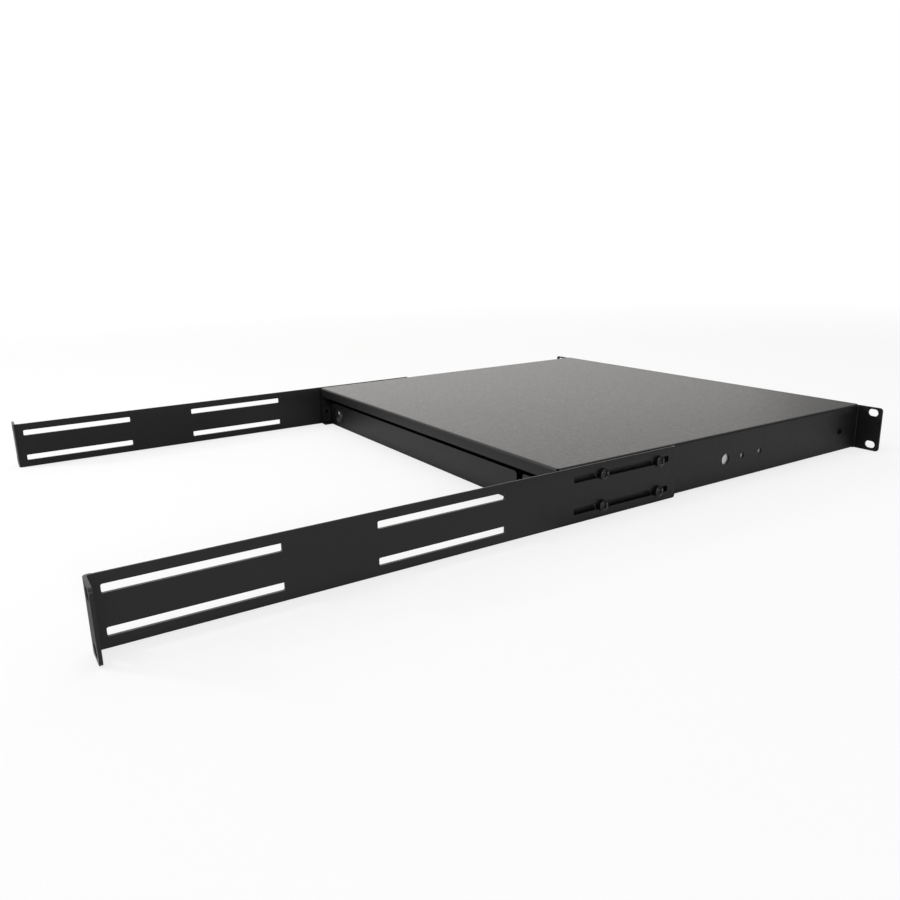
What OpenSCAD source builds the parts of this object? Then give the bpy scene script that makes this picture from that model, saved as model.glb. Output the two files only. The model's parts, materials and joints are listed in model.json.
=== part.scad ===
// Rack keyboard drawer, one rack unit high, with adjustable rear brackets.
// X runs to the right seen from the front, Y to the rear and Z up.
// The origin is the centre of the four front rack holes, on the ears' rear face.

/* [Rack standard] */
// Width across the two front ears
ear_span = 482.6; // [476:0.1:490]
// Distance between the left and right columns of rack holes
rack_hole_x = 465.1; // [462:0.1:468]
// Distance between the upper and the lower rack hole of one ear
rack_hole_z = 31.75; // [28:0.05:33]
// Width of an oval rack hole
rack_hole_w = 7; // [5.5:0.1:7.5]
// Length of an oval rack hole
rack_hole_l = 10; // [8:0.5:12]
// Corner radius of the ears and of the rear flanges
ear_corner_r = 3; // [1:0.5:5]
// Distance of an ear's top edge below the cover's top
ear_drop = 0.6; // [0.2:0.1:2]

/* [Housing] */
// Width of the housing over its side walls
body_w = 434; // [430:0.5:438]
// Height of the housing
body_h = 43.6; // [43:0.1:44.4]
// Depth of the housing behind the ears
body_d = 385; // [375:1:420]
// Sheet thickness of the housing
shell_t = 1.5; // [1.2:0.1:2]
// Inside radius of the bends in the sheet
bend_r = 0.5; // [0.3:0.1:1.5]
// Height of the lip folded down at the rear of the cover
lip_h = 10.1; // [8:0.1:13]
// Width of the flange folded inwards at the foot of a side wall
foot_flange_w = 9; // [5:0.5:10]
// Side clearance of the rear lip to each wall
lip_relief = 0.8; // [0.4:0.1:2]

/* [Holes in the side walls] */
// Distance of the large open hole from the ears
access_hole_y = 196; // [185:1:205]
// Diameter of the large open hole
access_hole_d = 10; // [5:0.5:12]
// Step from the large hole to the first small hole
pilot_hole_step = 22; // [12:1:24]
// Step between the two small holes
pilot_hole_pitch = 24; // [12:1:26]
// Diameter of the small open holes
pilot_hole_d = 5.3; // [2.5:0.1:6]

/* [Rear panel] */
// Height of the rear panel
rear_panel_h = 26.1; // [20:0.1:29]
// Sheet thickness of the rear panel
rear_panel_t = 1.2; // [1:0.1:1.5]
// Distance of the rear panel's face from the rear end of the walls
rear_panel_inset = 9; // [7:0.5:12]
// Distance of a tab's rivet from the rear panel's face
rear_rivet_step = 4.5; // [4:0.1:5.5]
// Width of the cable notch
notch_w = 7.5; // [5:0.5:12]
// Depth of the cable notch from the panel's top edge
notch_h = 20; // [12:0.5:23]
// Distance of the notch's middle from the middle of the panel
notch_x = 159; // [120:1:170]
// Diameter of the domed plug's head
plug_head_d = 16; // [11:0.5:17]
// Distance of the plug from the middle of the panel
plug_x = 186; // [150:1:198]

/* [Rear brackets] */
// Thickness of the bracket plate
bracket_t = 2; // [1.5:0.1:2.2]
// Length of a slot
slot_l = 100; // [90:1:104]
// Width of a slot
slot_w = 5.3; // [5.2:0.1:6.5]
// Corner radius at the slot ends
slot_corner_r = 1; // [0.5:0.1:2.5]
// Distance between the upper and lower slot rows
slot_row_pitch = 25; // [22:0.5:27]
// Length of the solid plate between two slots of a row
slot_web = 63.4; // [30:0.1:80]
// Length of plate in front of the first slot
front_land = 9; // [5:0.5:14]
// Length of plate between the last slot and the flange's rear face
rear_land = 8; // [5:0.5:14]
// Slots in one row
slots_per_row = 3; // [2:1:4]
// Distance from the rear screw to the rear end of its slot
bracket_setting = 28.5; // [20:0.5:32]

/* [Bracket screws] */
// Shank diameter of a bracket screw
bolt_d = 5; // [4:0.1:5]
// Head diameter of a bracket screw
bolt_head_d = 8.5; // [8:0.1:9.5]
// Head height of a bracket screw
bolt_head_h = 3; // [2:0.1:3.3]
// Outside diameter of a washer
washer_d = 9; // [9:0.1:12.5]
// Thickness of a washer
washer_t = 1; // [0.6:0.1:1.2]
// Diameter of a clinch nut
nut_d = 11; // [10:0.1:12.5]
// Height of a clinch nut in front of the wall
nut_h = 2.4; // [1.8:0.1:2.8]
// Distance between the two screws of a row
bolt_pitch = 60; // [50:1:62]
// Distance of the rear screw from the rear end of the wall
bolt_inset = 40.5; // [34:0.5:46]

/* [Slides] */
// Height of the slide's middle line above the middle of the housing
slide_z = -2; // [-2.5:0.1:-1]
// Distance of the slide's front end from the ears
slide_front = 8; // [6:0.5:10]
// Room between the slide's rear end and the rear panel
slide_rear_gap = 16.8; // [8:0.1:18]
// Travel of the drawer
travel = 300; // [250:5:310]
// Sheet thickness of the outer and inner member
rail_t = 1.2; // [1:0.05:1.2]
// Sheet thickness of the middle member
mid_t = 1; // [0.8:0.05:1.05]
// Diameter of the balls in the outer races
outer_ball_d = 4; // [3.6:0.1:4]
// Diameter of the balls in the inner races
inner_ball_d = 3.2; // [2.8:0.1:3.2]
// Distance between neighbouring balls
ball_pitch = 26; // [18:1:30]
// Sheet thickness of the ball cages
cage_t = 0.6; // [0.4:0.05:0.6]
// Length of the rubber stop at the rear of the slide
stop_l = 7; // [5:0.5:9]

/* [Drawer] */
// Sheet thickness of the tray
tray_t = 1.2; // [1:0.1:1.5]
// Height of the tray's side walls above its underside
tray_side_h = 34; // [28:0.5:36]
// Height of the tray's rear wall above its underside
tray_rear_h = 20; // [12:0.5:26]
// Height of the tray's front wall above its underside
tray_front_h = 38; // [36:0.5:38.5]
// Width of the cable notch in the tray's rear wall
tray_notch_w = 46; // [30:1:60]
// Depth of that notch
tray_notch_h = 11; // [6:0.5:13]
// Thickness of the front panel
front_t = 2; // [1.5:0.1:2.5]
// Height of the front panel
front_h = 41.4; // [41:0.1:41.8]
// Corner radius of the front panel
front_corner_r = 2; // [1:0.5:4]

/* [Handles] */
// Distance of a handle's middle from the middle of the panel
handle_x = 160; // [140:1:165]
// Distance between the two legs of a handle
handle_pitch = 64; // [50:1:66]
// Diameter of the handle bar
handle_d = 8; // [7.5:0.5:10]
// Distance of the bar's middle line from the panel's face
handle_reach = 28; // [22:1:32]
// Bend radius of the handle's middle line
handle_bend_r = 9; // [7:0.5:12]

/* [Hidden] */

$fn = 48;

// Overrun of a cut past the face it opens
cut = 1;
// Angle by which neighbouring arcs of one strip run into each other
arc_lap = 1;
// Corners of the wedge that cuts an arc out of a ring
arc_steps = 4;

// Housing, worked out from the sizes above
bend_out = bend_r + shell_t;
wall_out = body_w / 2;
wall_in = wall_out - shell_t;
floor_z = -body_h / 2;
roof_z = body_h / 2;
bend_z = roof_z - bend_out;
ear_top_z = roof_z - ear_drop;

// Rear panel
rear_face_y = body_d - rear_panel_inset;
rear_panel_top_z = floor_z + rear_panel_h;
rear_panel_gap = 0.2;
foot_clear_z = floor_z + bend_out + rear_panel_gap;
foot_clear_x = wall_out - foot_flange_w - rear_panel_gap;
rear_panel_corner_r = 3;
rear_tab_end_gap = 0.5;
rear_tab_l = rear_panel_t + rear_panel_inset - rear_tab_end_gap;
rear_rivet_y = rear_face_y + rear_rivet_step;
rear_tab_share = 0.82;
rear_rivet_share = 0.573;
plug_share = 0.52;
rear_tab_h = rear_panel_h * rear_tab_share;
rear_rivet_z = floor_z + rear_panel_h * rear_rivet_share;
plug_z = floor_z + rear_panel_h * plug_share;
plug_hole_d = 9;
plug_dome_h = 3.2;
plug_rim_t = 0.6;
plug_barb = 0.5;
plug_taper = 1.5;
plug_shank_l = 4;

// Rivets
rivet_d = 3.2;
rivet_head_d = 6;
rivet_head_h = 0.8;
rivet_tail_d = 5;
rivet_tail_h = 1;

// Rear brackets. The gap lets the plate slide on the nuts.
glide = 0.05;
plate_in = wall_out + nut_h + glide;
plate_out = plate_in + bracket_t;
bolt_rear_y = body_d - bolt_inset;
slot_step = slot_l + slot_web;
slot_front_y = bolt_rear_y + bracket_setting - slot_l;
bracket_front_y = slot_front_y - front_land;
bracket_rear_y = slot_front_y + (slots_per_row - 1) * slot_step + slot_l + rear_land;
bracket_bend_r = 1;
bracket_corner_r = 2;
nut_pilot_d = 7;
bolt_recess_d = 4;
bolt_recess_h = 1.3;
bolt_recess_w = 1.1;
bolt_dome_h = 0.9;

// Slides: every place is counted from the wall's inner face towards the tray
slide_rear = rear_face_y - rear_panel_t - slide_rear_gap;
race_gap = 0.05;
web_gap = 0.15;
stop_gap = 0.4;
s_bend_angle = 55;
race_open_angle = 20;
cage_side = 0.35;
outer_r = outer_ball_d / 2 + race_gap;
inner_r = inner_ball_d / 2 + race_gap;
outer_cage_x = rail_t + web_gap;
mid_x = outer_cage_x + cage_t + web_gap;
inner_cage_x = mid_x + mid_t + web_gap;
outer_ball_x = mid_x + mid_t + outer_r - web_gap;
outer_ball_z = 14.3;
ball_step = outer_r + inner_r + mid_t;
inner_ball_x = outer_ball_x + ball_step * cos(s_bend_angle);
inner_ball_z = outer_ball_z - ball_step * sin(s_bend_angle);
slide_w = 12.7;
rail_bend_r = 0.6;
weld_share = 0.33;
outer_flange_z = outer_ball_z + outer_r * sin(race_open_angle) + rail_t + web_gap / 2;
inner_flange_z = inner_ball_z - inner_r * sin(race_open_angle) - web_gap / 2;
mid_rear = slide_rear - stop_l - stop_gap;
inner_rear = mid_rear - stop_gap;
cage_margin = 3;
outer_cage_share = 0.25;
middle_share = 0.5;
cage_front = slide_front + travel * outer_cage_share + cage_margin;
overlap_l = inner_rear - slide_front - travel * middle_share;
cage_rear = slide_front + overlap_l + travel * outer_cage_share - cage_margin;
cage_l = cage_rear - cage_front;
cage_end_land = 6;
cage_window_share = 0.5;
ball_count = floor((cage_l - 2 * cage_end_land) / ball_pitch) + 1;
ball_first = cage_front + (cage_l - (ball_count - 1) * ball_pitch) / 2;
slide_rivet_inset = 20;
slide_rivet_rear_inset = 26;
slide_rivet_ys = [slide_front + slide_rivet_inset, slide_rear - slide_rivet_rear_inset];
rail_slot_l = 9;
rail_slot_w = 4.6;
rail_slot_shares = [0.16, 0.3, 0.72, 0.86];
mid_hole_d = 9;
mid_hole_shares = [0.1, 0.32, 0.62, 0.9];
stop_h = 12;
stop_out = 4;
stop_tab_w = 5;

// Tray and what is screwed to it
tray_out = wall_in - slide_w;
tray_in = tray_out - tray_t;
tray_lift = 0.5;
tray_under_z = floor_z + tray_lift;
tray_bend_r = 0.8;
tray_rear_gap = 4;
tray_rear_y = inner_rear - tray_rear_gap;
front_gap = 0.5;
front_back_y = -shell_t - front_gap;
front_face_y = front_back_y - front_t;
front_side_gap = 0.5;
front_w = body_w - 2 * front_side_gap;
tray_hem_w = 3;
tray_notch_r = 3;
slide_screw_d = 4;
slide_screw_head_d = 8;
slide_screw_head_h = 1.8;
slide_screw_tip = 1.6;
slide_screw_shares = [0.2, 0.5, 0.85];
panel_screw_d = 4;
panel_screw_head_d = 7.6;
panel_screw_head_h = 1.8;
panel_screw_nut_h = 2;
panel_screw_x_share = 0.25;
panel_screw_z_share = 0.3;
handle_screw_d = 4;
handle_screw_head_d = 7.6;
handle_screw_head_h = 2;
handle_screw_bite = 9;
handle_foot_rim = 2;
handle_foot_d = handle_d + 2 * handle_foot_rim;
handle_foot_t = 1.5;

// Release lever in the inner member's channel
lever_pivot_y = slide_front + 46;
lever_t = 1.4;
lever_x = slide_w - rail_t - web_gap - lever_t;
lever_front_l = 36;
lever_rear_l = 12;
lever_hub_r = 4.4;
lever_tip_r = 2.6;
lever_pin_d = 3;
lever_pin_head_d = 5.6;
lever_pin_head_h = 0.8;
lever_nose_r = 2;
lever_nose_h = 3.6;

// Plain shapes

// Extrudes a profile drawn in X and Z from y0 to y1
module along_y(y0, y1) {
    translate([0, y1, 0]) rotate([90, 0, 0]) linear_extrude(y1 - y0) children();
}

// Extrudes a profile drawn in Y and Z from x0 to x1
module along_x(x0, x1) {
    translate([x0, 0, 0]) rotate([90, 0, 90]) linear_extrude(x1 - x0) children();
}

// Extrudes a profile drawn in X and Y from z0 to z1
module along_z(z0, z1) {
    translate([0, 0, z0]) linear_extrude(z1 - z0) children();
}

// A round rod along X
module rod_x(x0, x1, d) {
    translate([x0, 0, 0]) rotate([0, 90, 0]) cylinder(h = x1 - x0, d = d);
}

// A round rod along Y
module rod_y(y0, y1, d) {
    translate([0, y1, 0]) rotate([90, 0, 0]) cylinder(h = y1 - y0, d = d);
}

// Draws its children on the left, or mirrored on the right
module on_side(side) {
    if (side < 0) children();
    else mirror([1, 0, 0]) children();
}

// A rectangle with round corners, about the origin
module round_rect(w, h, r) {
    square([w - 2 * r, h], center = true);
    square([w, h - 2 * r], center = true);
    for (x = [-1, 1], y = [-1, 1])
        translate([x * (w / 2 - r), y * (h / 2 - r)]) circle(r);
}

// An oval of length l and width w, along the first axis
module oval(l, w) {
    square([l - w, w], center = true);
    for (s = [-1, 1]) translate([s * (l - w) / 2, 0]) circle(d = w);
}

// What rounding a convex corner at the origin takes away, the material being at -x and -y
module corner_waste(r) {
    difference() {
        translate([-r, -r]) square(r + cut);
        translate([-r, -r]) circle(r);
        translate([-r, -r]) mirror([1, 0]) square(r + cut);
        translate([-r, -r]) mirror([0, 1]) square(r + cut);
    }
}

// A bent strip: outer corner at the origin, legs a along +x and b along +y
module angle_profile(a, b, t, r) {
    translate([t + r, 0]) square([a - t - r, t]);
    translate([0, t + r]) square([t, b - t - r]);
    intersection() {
        difference() {
            translate([t + r, t + r]) circle(t + r);
            translate([t + r, t + r]) circle(r);
        }
        square(t + r);
    }
}

// Part of a ring from angle a0 to a1, of inner radius r and thickness t
module arc_band(r, t, a0, a1) {
    reach = 2 * (r + t);
    step = (a1 - a0) / arc_steps;
    intersection() {
        difference() {
            circle(r + t);
            circle(r);
        }
        polygon(concat([[0, 0]], [for (i = [0:arc_steps])
            reach * [cos(a0 + i * step), sin(a0 + i * step)]]));
    }
}

// Housing

module wall_profile() {
    translate([-wall_out, floor_z])
        angle_profile(foot_flange_w, bend_z - floor_z, shell_t, bend_r);
}

module cover_profile() {
    translate([-(wall_out - bend_out), roof_z - shell_t])
        square([2 * (wall_out - bend_out), shell_t]);
    for (side = [-1, 1]) on_side_2d(side)
        translate([-(wall_out - bend_out), bend_z]) arc_band(bend_r, shell_t, 90, 180);
}

module on_side_2d(side) {
    if (side < 0) children();
    else mirror([1, 0]) children();
}

// The ear and its bend, seen from above
module ear_profile() {
    translate([-wall_in, -shell_t]) mirror([1, 0])
        angle_profile(ear_span / 2 - wall_in, shell_t + bend_out, shell_t, bend_r);
}

module rack_holes(y0, y1) {
    along_y(y0, y1)
        for (z = [-1, 1]) translate([-rack_hole_x / 2, z * rack_hole_z / 2])
            oval(rack_hole_l, rack_hole_w);
}

module ear_corners(top_z, y0, y1) {
    along_y(y0, y1) {
        translate([-ear_span / 2, top_z]) mirror([1, 0]) corner_waste(ear_corner_r);
        translate([-ear_span / 2, floor_z]) mirror([1, 0]) mirror([0, 1])
            corner_waste(ear_corner_r);
    }
}

// The flange beside the bend stands higher than the wall's straight part
module ear() {
    difference() {
        union() {
            along_z(floor_z, bend_z) ear_profile();
            along_y(-shell_t, 0) translate([-ear_span / 2, bend_z])
                square([ear_span / 2 - wall_out - bend_r, ear_top_z - bend_z]);
        }
        rack_holes(-shell_t - cut, cut);
        ear_corners(ear_top_z, -shell_t - cut, cut);
    }
}

// Places of the bracket screws on the left wall
module at_bolts() {
    for (y = [bolt_rear_y - bolt_pitch, bolt_rear_y], z = [-1, 1])
        translate([0, y, z * slot_row_pitch / 2]) children();
}

module at_slide_rivets() {
    for (y = slide_rivet_ys) translate([0, y, slide_z]) children();
}

module wall_holes() {
    x0 = -wall_out - cut;
    x1 = -wall_in + cut;
    at_bolts() rod_x(x0, x1, nut_pilot_d);
    at_slide_rivets() rod_x(x0, x1, rivet_d);
    translate([0, rear_rivet_y, rear_rivet_z]) rod_x(x0, x1, rivet_d);
    translate([0, access_hole_y, slide_z]) rod_x(x0, x1, access_hole_d);
    for (i = [0, 1])
        translate([0, access_hole_y - pilot_hole_step - i * pilot_hole_pitch, slide_z])
            rod_x(x0, x1, pilot_hole_d);
}

module side_wall() {
    difference() {
        along_y(bend_r, body_d) wall_profile();
        wall_holes();
    }
    ear();
}

module rear_lip() {
    x1 = wall_in - lip_relief;
    along_x(-x1, x1)
        translate([body_d, roof_z]) mirror([1, 0]) mirror([0, 1])
            angle_profile(2 * bend_out, lip_h, shell_t, bend_r);
}

module housing_shell() {
    color("#2b2b2c") {
        along_y(bend_r, body_d - bend_out) cover_profile();
        along_z(roof_z - shell_t, roof_z)
            translate([-(wall_out - bend_out), -shell_t])
                square([2 * (wall_out - bend_out), shell_t + bend_out]);
        rear_lip();
        for (side = [-1, 1]) on_side(side) side_wall();
    }
}

// Rear panel

// The panel's lower corner and its tab stand clear of the wall's foot flange
module rear_panel_half() {
    x_end = wall_in - rear_panel_gap;
    x_flat = x_end - rear_panel_t - bend_r;
    along_z(foot_clear_z, floor_z + rear_tab_h)
        translate([-x_end, rear_face_y - rear_panel_t])
            angle_profile(2 * (rear_panel_t + bend_r), rear_tab_l, rear_panel_t, bend_r);
    along_y(rear_face_y - rear_panel_t, rear_face_y) {
        translate([-x_flat, foot_clear_z]) square([x_flat, rear_panel_top_z - foot_clear_z]);
        translate([-foot_clear_x, floor_z + rear_panel_gap])
            square([foot_clear_x, rear_panel_h - rear_panel_gap]);
    }
}

module cable_notch() {
    depth = notch_h - notch_w / 2;
    along_y(rear_face_y - rear_panel_t - cut, rear_face_y + cut)
        translate([-notch_x, rear_panel_top_z]) {
            translate([0, -depth]) circle(d = notch_w);
            translate([-notch_w / 2, -depth]) square([notch_w, depth + cut]);
            for (side = [-1, 1]) on_side_2d(side)
                translate([-notch_w / 2, 0]) corner_waste(rear_panel_corner_r);
        }
}

module rear_panel() {
    color("#38393a") difference() {
        for (side = [-1, 1]) on_side(side) rear_panel_half();
        cable_notch();
        translate([plug_x, 0, plug_z])
            rod_y(rear_face_y - rear_panel_t - cut, rear_face_y + cut, plug_hole_d);
        for (side = [-1, 1]) on_side(side)
            translate([0, rear_rivet_y, rear_rivet_z])
                rod_x(-wall_in - cut, -wall_in + rear_panel_gap + rear_panel_t + cut, rivet_d);
    }
}

// A rivet along X: head outside at x0, tail inside at x1
module blind_rivet(x0, x1) {
    rod_x(x0, x1, rivet_d);
    rod_x(x0 - rivet_head_h, x0, rivet_head_d);
    rod_x(x1, x1 + rivet_tail_h, rivet_tail_d);
}

module rear_panel_rivets() {
    color("#2f3031") for (side = [-1, 1]) on_side(side)
        translate([0, rear_rivet_y, rear_rivet_z])
            blind_rivet(-wall_out, -wall_in + rear_panel_gap + rear_panel_t);
}

module hole_plug() {
    dome_r = (pow(plug_head_d / 2, 2) + pow(plug_dome_h, 2)) / (2 * plug_dome_h);
    color("#1d1d1e") translate([plug_x, rear_face_y, plug_z]) rotate([-90, 0, 0]) {
        intersection() {
            translate([0, 0, plug_rim_t + plug_dome_h - dome_r]) sphere(dome_r);
            cylinder(h = plug_rim_t + plug_dome_h, d = plug_head_d);
        }
        translate([0, 0, -rear_panel_t]) cylinder(h = rear_panel_t + plug_rim_t, d = plug_hole_d);
        translate([0, 0, -rear_panel_t - plug_barb])
            cylinder(h = plug_barb, d1 = plug_hole_d - plug_barb, d2 = plug_hole_d + plug_barb);
        translate([0, 0, -plug_shank_l])
            cylinder(h = plug_shank_l - rear_panel_t - plug_barb,
                     d1 = plug_hole_d - plug_taper, d2 = plug_hole_d - plug_barb);
    }
}

// Rear brackets and their fasteners

module clinch_nuts() {
    color("#8c8d8e") at_bolts() difference() {
        union() {
            rod_x(-wall_out - nut_h, -wall_out, nut_d);
            rod_x(-wall_out, -wall_in, nut_pilot_d);
        }
        rod_x(-wall_out - nut_h - cut, -wall_in + cut, bolt_d);
    }
}

module washers() {
    x0 = -plate_out - glide - washer_t;
    color("#3a3b3c") at_bolts() difference() {
        rod_x(x0, x0 + washer_t, washer_d);
        rod_x(x0 - cut, x0 + washer_t + cut, bolt_d);
    }
}

module bracket_screws() {
    head_x = -plate_out - glide - washer_t;
    edge_h = bolt_head_h - bolt_dome_h;
    dome_r = (pow(bolt_head_d / 2, 2) + pow(bolt_dome_h, 2)) / (2 * bolt_dome_h);
    color("#1f1f20") at_bolts() {
        rod_x(head_x, -wall_in, bolt_d);
        difference() {
            intersection() {
                rod_x(head_x - bolt_head_h, head_x, bolt_head_d);
                translate([head_x - bolt_head_h + dome_r, 0, 0]) sphere(dome_r);
            }
            for (turn = [0, 90]) rotate([turn, 0, 0])
                translate([head_x - bolt_head_h - cut, -bolt_recess_d / 2, -bolt_recess_w / 2])
                    cube([bolt_recess_h + cut, bolt_recess_d, bolt_recess_w]);
        }
    }
}

module rear_bracket() {
    color("#2b2b2c") difference() {
        along_z(floor_z, roof_z)
            translate([-plate_in, bracket_rear_y]) mirror([1, 0]) mirror([0, 1])
                angle_profile(ear_span / 2 - plate_in, bracket_rear_y - bracket_front_y,
                              bracket_t, bracket_bend_r);
        for (i = [0:slots_per_row - 1], z = [-1, 1])
            along_x(-plate_out - cut, -plate_in + cut)
                translate([slot_front_y + slot_l / 2 + i * slot_step, z * slot_row_pitch / 2])
                    round_rect(slot_l, slot_w, slot_corner_r);
        rack_holes(bracket_rear_y - bracket_t - cut, bracket_rear_y + cut);
        ear_corners(roof_z, bracket_rear_y - bracket_t - cut, bracket_rear_y + cut);
        along_x(-plate_out - cut, -plate_in + cut) for (z = [-1, 1])
            flip_z(z) translate([bracket_front_y, roof_z]) mirror([1, 0])
                corner_waste(bracket_corner_r);
    }
}

// Mirrors a drawn profile about the middle line where z is negative
module flip_z(z) {
    if (z > 0) children();
    else mirror([0, 1]) children();
}

// Slides

// Places its children in the left slide: x from the wall, z from the slide's middle line
module in_slide() {
    translate([-wall_in, 0, slide_z]) children();
}

module outer_profile() {
    for (z = [-1, 1]) flip_z(z) {
        translate([0, outer_flange_z]) mirror([0, 1])
            angle_profile(outer_ball_x - outer_r * cos(race_open_angle), outer_flange_z + cut,
                          rail_t, rail_bend_r);
        translate([outer_ball_x, outer_ball_z])
            arc_band(outer_r, rail_t, race_open_angle, 180 - race_open_angle);
    }
}

module middle_profile() {
    join = 360 - s_bend_angle;
    web_top = outer_ball_z - outer_r * sin(race_open_angle) - mid_t * weld_share;
    for (z = [-1, 1]) flip_z(z) {
        translate([mid_x, -cut]) square([mid_t, web_top + cut]);
        translate([outer_ball_x, outer_ball_z])
            arc_band(outer_r, mid_t, 180 + race_open_angle, join + arc_lap);
        translate([inner_ball_x, inner_ball_z])
            arc_band(inner_r, mid_t, race_open_angle, 180 - s_bend_angle + arc_lap);
    }
}

module inner_profile() {
    for (z = [-1, 1]) flip_z(z) {
        translate([slide_w, inner_flange_z]) mirror([1, 0]) mirror([0, 1])
            angle_profile(slide_w - inner_ball_x - inner_r - rail_t * weld_share, inner_flange_z + cut,
                          rail_t, rail_bend_r);
        translate([inner_ball_x, inner_ball_z])
            arc_band(inner_r, rail_t, 180 + race_open_angle, 360 - race_open_angle);
    }
}

// Ball cage: a thin channel with a pocket round every ball
module cage_profile(web_x, ball_x, ball_z, r) {
    for (z = [-1, 1]) flip_z(z)
        translate([web_x, ball_z + cage_t / 2]) mirror([0, 1])
            angle_profile(ball_x + r + cage_side - web_x, ball_z + cut, cage_t, web_gap);
}

module at_balls(ball_x, ball_z) {
    for (i = [0:ball_count - 1], z = [-1, 1])
        translate([ball_x, ball_first + i * ball_pitch, z * ball_z]) children();
}

module ball_cage(web_x, ball_x, ball_z, r) {
    window_h = ball_z;
    window_y = ball_pitch * (1 - cage_window_share) / 2;
    color("#c9cacb") in_slide() difference() {
        along_y(cage_front, cage_rear) cage_profile(web_x, ball_x, ball_z, r);
        at_balls(ball_x, ball_z) cylinder(h = 2 * cage_t, r = r, center = true);
        for (i = [0:ball_count - 2])
            translate([web_x - cut, ball_first + i * ball_pitch + window_y, -window_h / 2])
                cube([cage_t + 2 * cut, ball_pitch * cage_window_share, window_h]);
    }
}

module balls(ball_x, ball_z, d) {
    color("#dfe0e1") in_slide() at_balls(ball_x, ball_z) sphere(d = d, $fn = 32);
}

module rail_slots(x0, x1, shares, rear) {
    for (s = shares) along_x(x0 - cut, x1 + cut)
        translate([slide_front + s * (rear - slide_front), 0]) oval(rail_slot_l, rail_slot_w);
}

module slide_outer() {
    color("#b9babb") in_slide() difference() {
        union() {
            along_y(slide_front, slide_rear) outer_profile();
            stop_tabs();
        }
        rail_slots(0, rail_t, rail_slot_shares, slide_rear);
        translate([0, 0, -slide_z]) at_slide_rivets() rod_x(-cut, rail_t + cut, rivet_d);
    }
}

// Two tabs bent out of the outer web that hold the rubber stop between them
module stop_tabs() {
    along_y(slide_rear - stop_l, slide_rear) for (z = [-1, 1]) flip_z(z)
        translate([0, stop_h / 2]) square([rail_t + stop_tab_w, rail_t]);
}

module slide_stop() {
    color("#222222") in_slide()
        along_z(-stop_h / 2, stop_h / 2) translate([rail_t, slide_rear - stop_l]) {
            square([stop_out, stop_l]);
            translate([stop_out, stop_l / 2]) circle(d = stop_l);
        }
}

module slide_middle() {
    color("#c4c5c6") in_slide() difference() {
        along_y(slide_front, mid_rear) middle_profile();
        for (s = mid_hole_shares)
            translate([0, slide_front + s * (mid_rear - slide_front), 0])
                rod_x(mid_x - cut, mid_x + mid_t + cut, mid_hole_d);
    }
}

module at_slide_screws() {
    for (s = slide_screw_shares)
        translate([0, slide_front + s * (inner_rear - slide_front), 0]) children();
}

module slide_inner() {
    color("#bfc0c1") in_slide() difference() {
        along_y(slide_front, inner_rear) inner_profile();
        at_slide_screws() rod_x(slide_w - rail_t - cut, slide_w + cut, slide_screw_d);
        translate([0, lever_pivot_y, 0]) rod_x(slide_w - rail_t - cut, slide_w + cut, lever_pin_d);
    }
}

module slide_rivets() {
    color("#1c1c1d") at_slide_rivets() {
        rod_x(-wall_out, -wall_in + rail_t, rivet_d);
        rod_x(-wall_out - rivet_head_h, -wall_out, rivet_head_d);
    }
}

module slide_screws() {
    color("#9b9c9d") in_slide() at_slide_screws() {
        rod_x(slide_w - rail_t - slide_screw_tip, slide_w + tray_t, slide_screw_d);
        rod_x(slide_w + tray_t, slide_w + tray_t + slide_screw_head_h, slide_screw_head_d);
    }
}

// Lever outline in Y and Z: a hub at the pivot that narrows to a rounded thumb tip
module lever_outline() {
    circle(lever_hub_r);
    translate([-lever_front_l, 0]) circle(lever_tip_r);
    polygon([
        [0, lever_hub_r], [-lever_front_l, lever_tip_r],
        [-lever_front_l, -lever_tip_r], [0, -lever_hub_r]
    ]);
    translate([lever_rear_l / 2, 0]) oval(lever_rear_l, lever_tip_r * 2);
}

module release_lever() {
    color("#17181a") in_slide() translate([0, lever_pivot_y, 0]) difference() {
        union() {
            along_x(lever_x, lever_x + lever_t) lever_outline();
            translate([0, lever_rear_l - lever_nose_r, 0])
                rod_x(lever_x - lever_nose_h, lever_x, 2 * lever_nose_r);
        }
        rod_x(lever_x - cut, lever_x + lever_t + cut, lever_pin_d + 2 * race_gap);
    }
}

module lever_pin() {
    head_x = lever_x - web_gap;
    color("#b0b1b2") in_slide() translate([0, lever_pivot_y, 0]) {
        rod_x(head_x, slide_w, lever_pin_d);
        rod_x(head_x - lever_pin_head_h, head_x, lever_pin_head_d);
    }
}

// Drawer

module tray_half() {
    y0 = front_back_y;
    y1 = tray_rear_y;
    corner = tray_t + tray_bend_r;
    along_y(y0 + corner, y1 - corner)
        translate([-tray_out, tray_under_z])
            angle_profile(tray_out, tray_side_h, tray_t, tray_bend_r);
    along_y(y0 + corner, y1 - corner)
        translate([-tray_out, tray_under_z + tray_side_h - tray_t])
            square([tray_hem_w, tray_t]);
}

module tray_end(y, dir, h) {
    corner = tray_t + tray_bend_r;
    x1 = tray_out - corner;
    along_x(-x1, x1) translate([y, tray_under_z]) flip_y(dir)
        angle_profile(2 * corner, h, tray_t, tray_bend_r);
}

// Turns a profile round where dir is negative
module flip_y(dir) {
    if (dir > 0) children();
    else mirror([1, 0]) children();
}

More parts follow.
